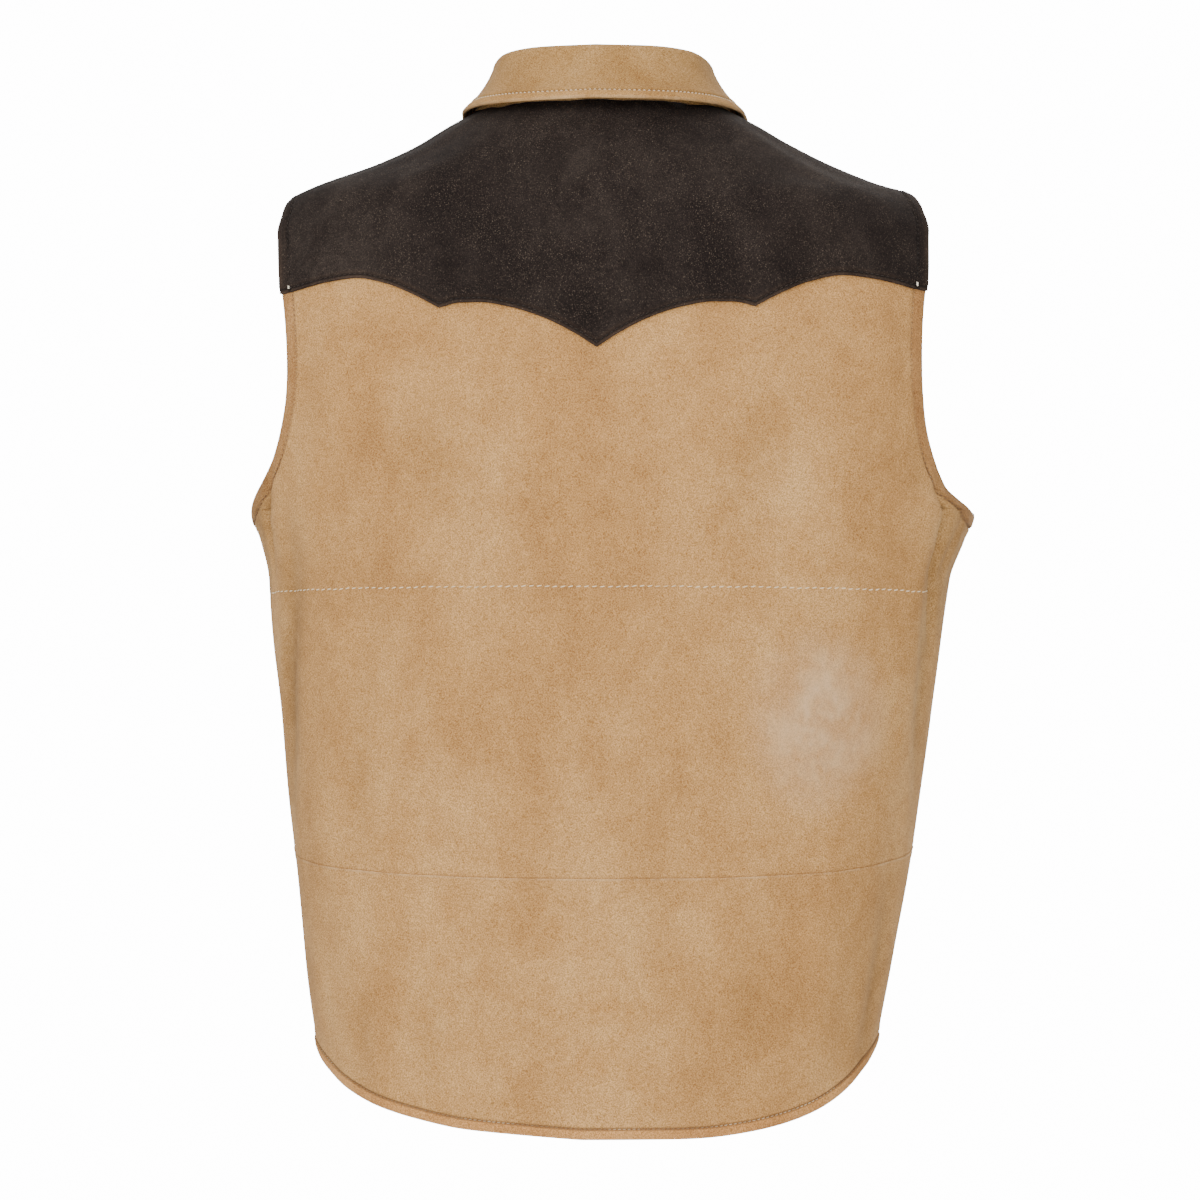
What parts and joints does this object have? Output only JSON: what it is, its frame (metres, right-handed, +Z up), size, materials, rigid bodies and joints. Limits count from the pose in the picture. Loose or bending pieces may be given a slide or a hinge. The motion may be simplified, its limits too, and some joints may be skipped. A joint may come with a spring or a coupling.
{
  "type": "western vest",
  "caption": "Hollow sleeveless western vest in tan suede with a dark scalloped yoke, turned-down collar, shirt-tail hem and snap front.",
  "frame": {"origin": "middle of the neck hole, at the height where the wearer's shoulders and neck carry the vest", "axes": "+Z up along the wearer's spine, -Y the way the wearer faces, +X the wearer's left"},
  "size_m": [0.475, 0.2723, 0.7039],
  "materials": {
    "tan_suede": "napped suede, matt",
    "dark_suede": "napped suede, matt",
    "snap_metal": "dulled, antique"
  },
  "bodies": {
    "root": {"yoke": "dark_suede", "back_upper": "tan_suede", "back_middle": "tan_suede", "back_lower": "tan_suede", "front_left": "tan_suede", "front_right": "tan_suede", "collar": "tan_suede", "snap_1": "snap_metal", "snap_2": "snap_metal", "snap_3": "snap_metal", "snap_4": "snap_metal", "snap_5": "snap_metal", "snap_6": "snap_metal"}
  },
  "joints": []
}
